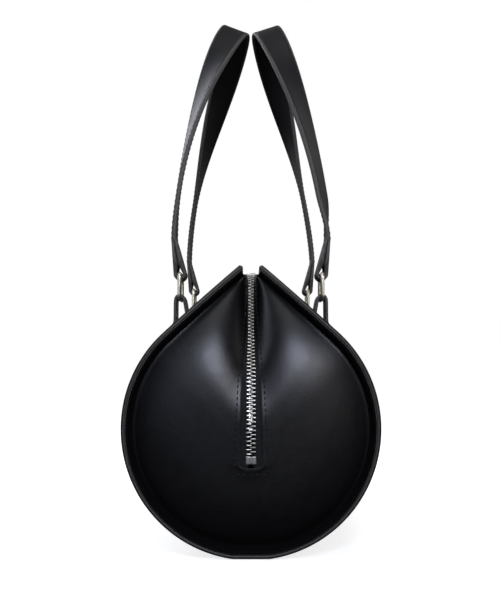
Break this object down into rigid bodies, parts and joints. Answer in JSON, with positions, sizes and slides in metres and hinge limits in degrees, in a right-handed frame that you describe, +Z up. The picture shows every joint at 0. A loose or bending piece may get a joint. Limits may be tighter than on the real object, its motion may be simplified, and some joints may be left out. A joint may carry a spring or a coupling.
{
  "type": "barrel bag",
  "caption": "Barrel-shaped leather handbag lying on its round side, with a zip over the top and down both ends and strap handles on swinging wire rings.",
  "frame": {"origin": "on the ground under the middle of the bag", "axes": "+Z up, the barrel's axis along Y with the pictured end at -Y, +X to the right of that view"},
  "size_m": [0.1594, 0.3042, 0.371],
  "materials": {
    "leather": "smooth black with a soft shine",
    "zip_tape": "woven black",
    "zip_metal": "nickel plated",
    "ring_metal": "polished pale nickel"
  },
  "bodies": {
    "bag": {"body_wrap": "leather", "end_panel_front": "leather", "end_panel_rear": "leather", "tab_front_left": "leather", "tab_front_right": "leather", "tab_rear_left": "leather", "tab_rear_right": "leather", "zip_tape_left": "zip_tape", "zip_tape_right": "zip_tape", "zip_teeth_left": "zip_metal", "zip_teeth_right": "zip_metal", "zip_stop_front": "zip_metal", "zip_stop_rear": "zip_metal"},
    "ring_front_left": {"ring_front_left": "ring_metal"},
    "ring_front_right": {"ring_front_right": "ring_metal"},
    "ring_rear_left": {"ring_rear_left": "ring_metal"},
    "ring_rear_right": {"ring_rear_right": "ring_metal"},
    "handle_left": {"handle_left": "leather"},
    "handle_right": {"handle_right": "leather"},
    "slider_front": {"slider_front": "zip_metal"},
    "slider_rear": {"slider_rear": "zip_metal"},
    "pull_front": {"pull_front": "zip_metal"},
    "pull_rear": {"pull_rear": "zip_metal"}
  },
  "joints": [
    {"name": "ring_front_left_swing", "type": "hinge", "parent": "bag", "child": "ring_front_left", "pos_m": [-0.047, -0.082, 0.15804], "axis": [0, -1, 0], "range_deg": [0, 70]},
    {"name": "ring_rear_left_swing", "type": "hinge", "parent": "bag", "child": "ring_rear_left", "pos_m": [-0.047, 0.082, 0.15804], "axis": [0, -1, 0], "range_deg": [0, 70]},
    {"name": "handle_left_swing", "type": "hinge", "parent": "ring_front_left", "child": "handle_left", "pos_m": [-0.047, 0, 0.17454], "axis": [0, -1, 0], "range_deg": [0, 80]},
    {"name": "ring_front_right_swing", "type": "hinge", "parent": "bag", "child": "ring_front_right", "pos_m": [0.047, -0.082, 0.15804], "axis": [0, 1, 0], "range_deg": [0, 70]},
    {"name": "ring_rear_right_swing", "type": "hinge", "parent": "bag", "child": "ring_rear_right", "pos_m": [0.047, 0.082, 0.15804], "axis": [0, 1, 0], "range_deg": [0, 70]},
    {"name": "handle_right_swing", "type": "hinge", "parent": "ring_front_right", "child": "handle_right", "pos_m": [0.047, 0, 0.17454], "axis": [0, 1, 0], "range_deg": [0, 80]},
    {"name": "slider_front_slide", "type": "slide", "parent": "bag", "child": "slider_front", "axis": [0, -1, 0], "range_m": [0, 0.06], "deforming": ["zip_teeth_left", "zip_teeth_right"]},
    {"name": "pull_front_hinge", "type": "hinge", "parent": "slider_front", "child": "pull_front", "pos_m": [0, -0.0057, 0.17803], "axis": [-1, 0, 0], "range_deg": [0, 95]},
    {"name": "slider_rear_slide", "type": "slide", "parent": "bag", "child": "slider_rear", "axis": [0, 1, 0], "range_m": [0, 0.06], "deforming": ["zip_teeth_left", "zip_teeth_right"]},
    {"name": "pull_rear_hinge", "type": "hinge", "parent": "slider_rear", "child": "pull_rear", "pos_m": [0, 0.0057, 0.17803], "axis": [1, 0, 0], "range_deg": [0, 95]}
  ],
  "couplings": [
    {"joint": "ring_rear_left_swing", "follows": "ring_front_left_swing", "ratio": 1},
    {"joint": "ring_rear_right_swing", "follows": "ring_front_right_swing", "ratio": 1}
  ]
}
